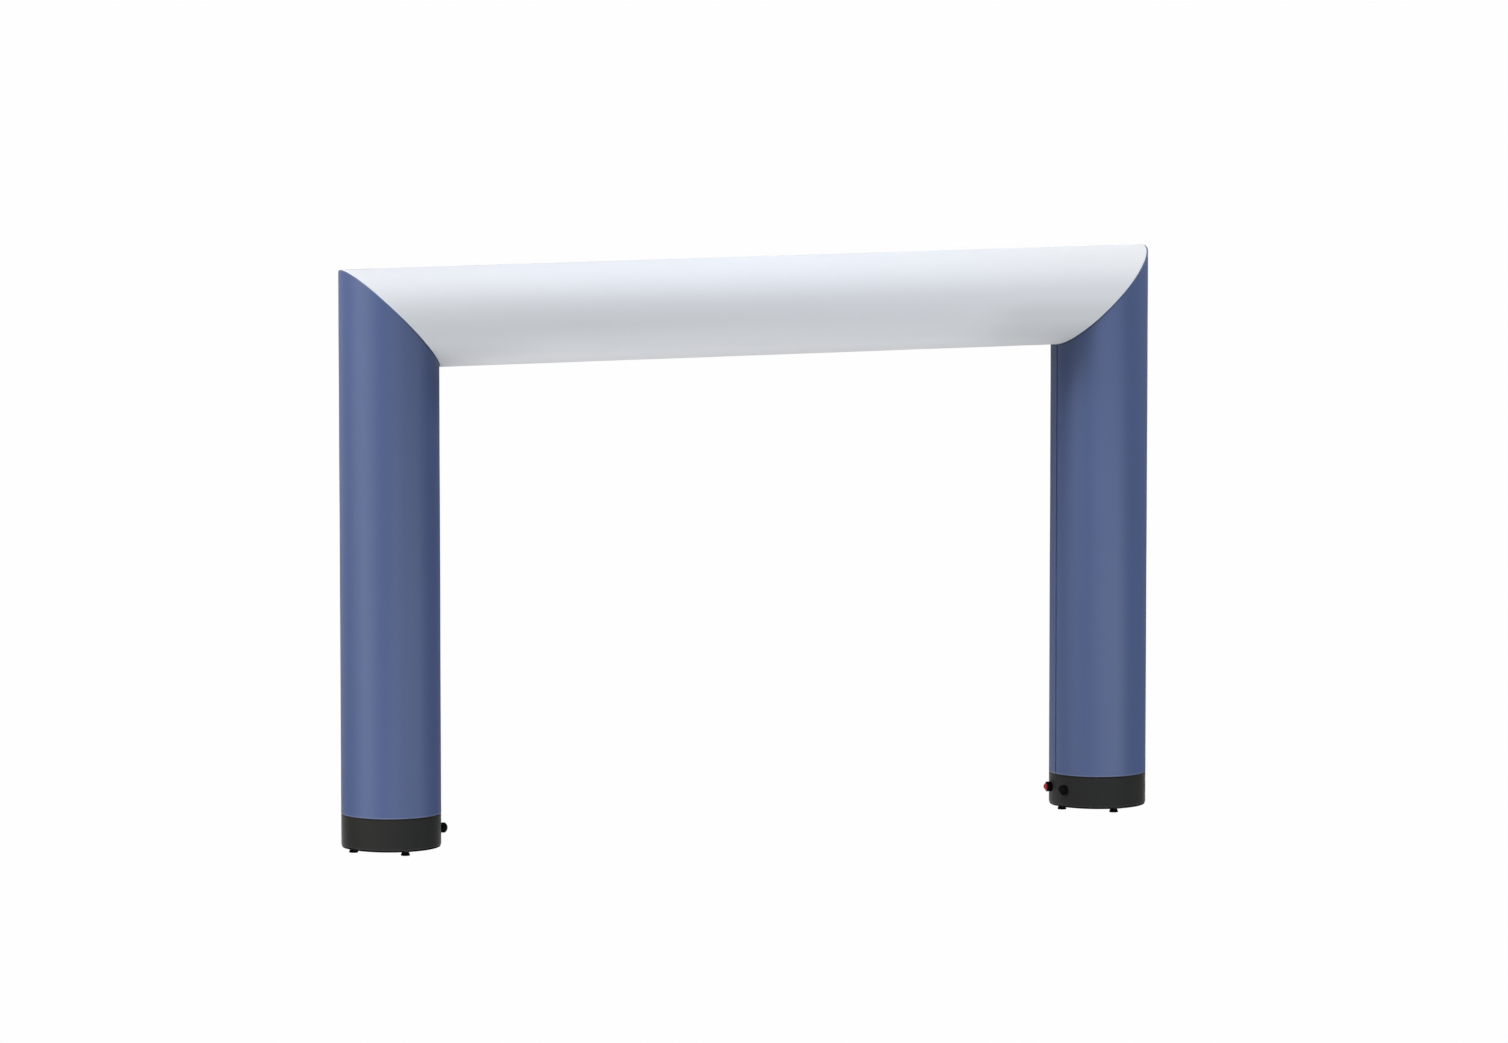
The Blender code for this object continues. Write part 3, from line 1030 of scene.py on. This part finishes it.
FLOOR_REACH = 200.0
BACKDROP = 0.991            # the white of the backdrop and the floor
REFLECTED = 0.18            # the studio as reflections see it
FILL = 0.02                 # the light it gives by itself
SOFTBOXES = (               # name, place, aim, size, watts of red, green and blue
    ("front_strip", (1.3, -7, 0.3), (2, 0, 1.2), (0.8, 1.5), (82, 84, 98)),
    ("left_front", (-8, -2.5, 0.3), (-2, 0, 1.5), (1, 1.5), (46, 53, 51)),
    ("left", (-8, 0.5, 2), (-2, 0, 1.5), (1, 3), (42, 34, 27)),
    ("high_left", (-8, -1, 6), (-2, 0, 1.5), (1, 2), (414, 408, 383)),
    ("high_front_left", (-5, -2, 8), (-1, 0, 1.5), (1.5, 1.5), (46, 50, 56)),
    ("high_right", (8, 0.5, 6), (2, 0, 1.5), (1, 2), (230, 238, 213)),
    ("below_left", (-3.5, -2, -3), (-3.5, 0, 1), (3, 3), (104, 101, 101)),
    ("above_middle", (0, 0, 7), (0, 0, 0), (2.5, 2.5), (87, 93, 107)),
    ("above_front_right", (3.5, -4, 7), (3.5, 0, 1), (2.5, 2.5), (105, 101, 92)),
    ("below_right", (3.5, -2, -3), (3.5, 0, 1), (3, 3), (46, 42, 24)),
    ("below_back", (0, 5, -3), (0, 0, 2), (8, 3), (251, 251, 252)),
    ("back_left", (-5, 10, 1.5), (0, 0, 1.5), (3, 5), (52, 55, 66)),
    ("right_back_high", (6, 5, 7), (2, 0, 2), (2, 2), (118, 130, 137)),
    ("front_low_right", (5, -7, 0), (2, 0, 1), (2, 1.5), (131, 149, 169)),
    ("front_far_left", (-3, -9, 0.5), (-2, 0, 1), (1.5, 1.5), (132, 134, 127)),
    ("left_low", (-8, -1, 0), (-2, 0, 1), (1, 1.5), (44, 44, 45)),
)


def softbox(name, place, aim, size, watts):
    """A large soft light that faces a point."""
    lamp = bpy.data.lights.new(name, "AREA")
    lamp.shape = "RECTANGLE"
    lamp.size, lamp.size_y = size
    lamp.energy = max(watts)
    lamp.color = [share / max(watts) for share in watts]
    light = bpy.data.objects.new(name, lamp)
    light.location = place
    light.rotation_mode = "QUATERNION"
    light.rotation_quaternion = (Vector(aim) - Vector(place)).to_track_quat("-Z", "Y")
    light.visible_camera = False
    bpy.context.scene.collection.objects.link(light)


def floor():
    """A plain pale floor."""
    corners = [(x * FLOOR_REACH, y * FLOOR_REACH, 0) for x, y in ((-1, -1), (1, -1), (1, 1), (-1, 1))]
    mesh = bpy.data.meshes.new("floor")
    mesh.from_pydata(corners, [], [(0, 1, 2, 3)])
    material = bpy.data.materials.new("pale_floor")
    material.use_nodes = True
    nodes = material.node_tree.nodes
    nodes.clear()
    glow = nodes.new("ShaderNodeEmission")
    glow.inputs["Color"].default_value = (BACKDROP, BACKDROP, BACKDROP, 1)
    output = nodes.new("ShaderNodeOutputMaterial")
    material.node_tree.links.new(glow.outputs[0], output.inputs[0])
    mesh.materials.append(material)
    plane = bpy.data.objects.new("floor", mesh)
    plane.visible_diffuse = False
    plane.visible_glossy = False
    plane.visible_shadow = False
    bpy.context.scene.collection.objects.link(plane)


def world():
    """Even studio light all round, and a white backdrop for the camera."""
    studio = bpy.data.worlds.new("studio")
    studio.use_nodes = True
    bpy.context.scene.world = studio
    tree = studio.node_tree
    tree.nodes.clear()
    path = tree.nodes.new("ShaderNodeLightPath")

    def sky(brightness):
        background = tree.nodes.new("ShaderNodeBackground")
        background.inputs["Color"].default_value = (brightness, brightness, brightness, 1)
        return background

    def chosen(ray, otherwise, when):
        mix = tree.nodes.new("ShaderNodeMixShader")
        tree.links.new(path.outputs[ray], mix.inputs[0])
        tree.links.new(otherwise.outputs[0], mix.inputs[1])
        tree.links.new(when.outputs[0], mix.inputs[2])
        return mix

    lit = chosen("Is Glossy Ray", sky(FILL), sky(REFLECTED))
    output = tree.nodes.new("ShaderNodeOutputWorld")
    tree.links.new(chosen("Is Camera Ray", lit, sky(BACKDROP)).outputs[0], output.inputs[0])


camera()
floor()
world()
for row in SOFTBOXES:
    softbox(*row)
bpy.context.scene.view_settings.view_transform = "Standard"
